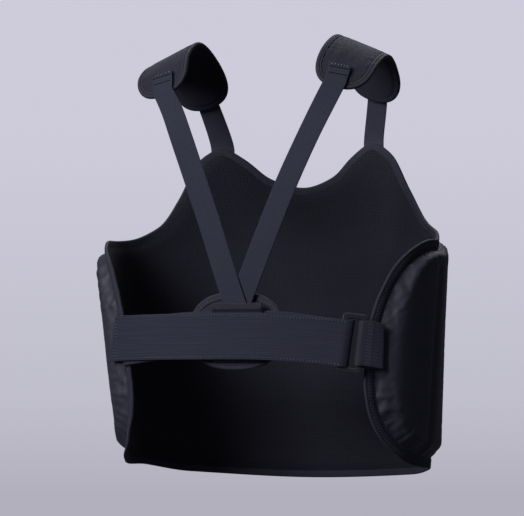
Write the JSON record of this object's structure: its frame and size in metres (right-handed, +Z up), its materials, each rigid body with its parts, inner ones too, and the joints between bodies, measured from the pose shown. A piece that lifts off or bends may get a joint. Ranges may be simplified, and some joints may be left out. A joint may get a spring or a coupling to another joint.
{
  "type": "martial arts chest protector",
  "caption": "Padded wrap-round chest guard with shoulder pads, a V of elastic back straps on an oval back patch, and a wide waist strap doubled through a plastic ring.",
  "frame": {"origin": "midway between the shoulder pads, on the level of the shoulders that carry them", "axes": "+Z up the worn guard; the wearer faces -Y, so +Y points out of the back; +X is the wearer's left"},
  "size_m": [0.4058, 0.263, 0.5011],
  "materials": {
    "nylon": "plain woven nylon with a satin sheen",
    "lining": "matte spacer mesh",
    "tape": "matte ribbed binding tape",
    "knit": "matte smooth knit",
    "elastic": "matte ribbed elastic",
    "webbing": "matte woven webbing",
    "plastic": "moulded satin black"
  },
  "bodies": {
    "root": {"backing_panel": "lining", "chest_pad": "nylon", "edge_binding": "tape", "shoulder_pad_left": "knit", "shoulder_binding_left": "tape", "shoulder_pad_right": "knit", "shoulder_binding_right": "tape", "back_patch": "knit", "back_patch_binding": "tape", "back_strap_left": "elastic", "back_strap_right": "elastic", "front_strap_left": "webbing", "front_strap_right": "webbing", "buckle": "plastic", "waist_strap": "elastic", "buckle_tab": "webbing", "belt_loop": "webbing"}
  },
  "joints": []
}
